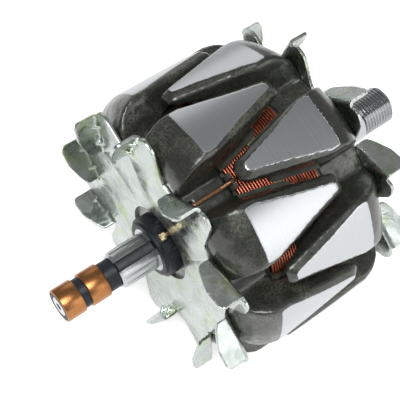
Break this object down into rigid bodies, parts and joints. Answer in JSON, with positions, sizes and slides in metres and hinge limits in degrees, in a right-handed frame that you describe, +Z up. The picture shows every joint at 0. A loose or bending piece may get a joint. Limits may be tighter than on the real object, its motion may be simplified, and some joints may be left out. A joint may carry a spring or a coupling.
{
  "type": "claw-pole alternator rotor",
  "caption": "Claw-pole rotor of a vehicle alternator with field coil, slip rings, two cooling fans and a threaded drive end.",
  "frame": {"origin": "on the shaft's axis, at the inner end of the drive-end journal that carries the bearing and the pulley", "axes": "+X along the shaft towards the threaded drive end, +Z up with the rotor lying on its claws"},
  "size_m": [0.1596, 0.112, 0.112],
  "materials": {
    "turned_steel": "turned bright",
    "forged_iron": "rough forging with ground claw faces",
    "zinc_sheet": "bright zinc plate",
    "enamelled_wire": "varnished copper wire",
    "coil_insulation": "varnished moulding",
    "binding_tape": "varnished tape",
    "black_moulding": "moulded",
    "slip_ring_copper": "turned copper",
    "terminal_brass": "tinned strip"
  },
  "bodies": {
    "root": {"shaft": "turned_steel", "pole_rear": "forged_iron", "pole_front": "forged_iron", "coil_bobbin": "coil_insulation", "coil_winding": "enamelled_wire", "coil_tape": "binding_tape", "collector_body": "black_moulding", "slip_ring_outer": "slip_ring_copper", "slip_ring_inner": "slip_ring_copper", "lead_wire_a": "enamelled_wire", "lead_wire_b": "enamelled_wire", "terminal_a": "terminal_brass", "terminal_b": "terminal_brass", "fan_rear": "zinc_sheet", "fan_front": "zinc_sheet"}
  },
  "joints": []
}
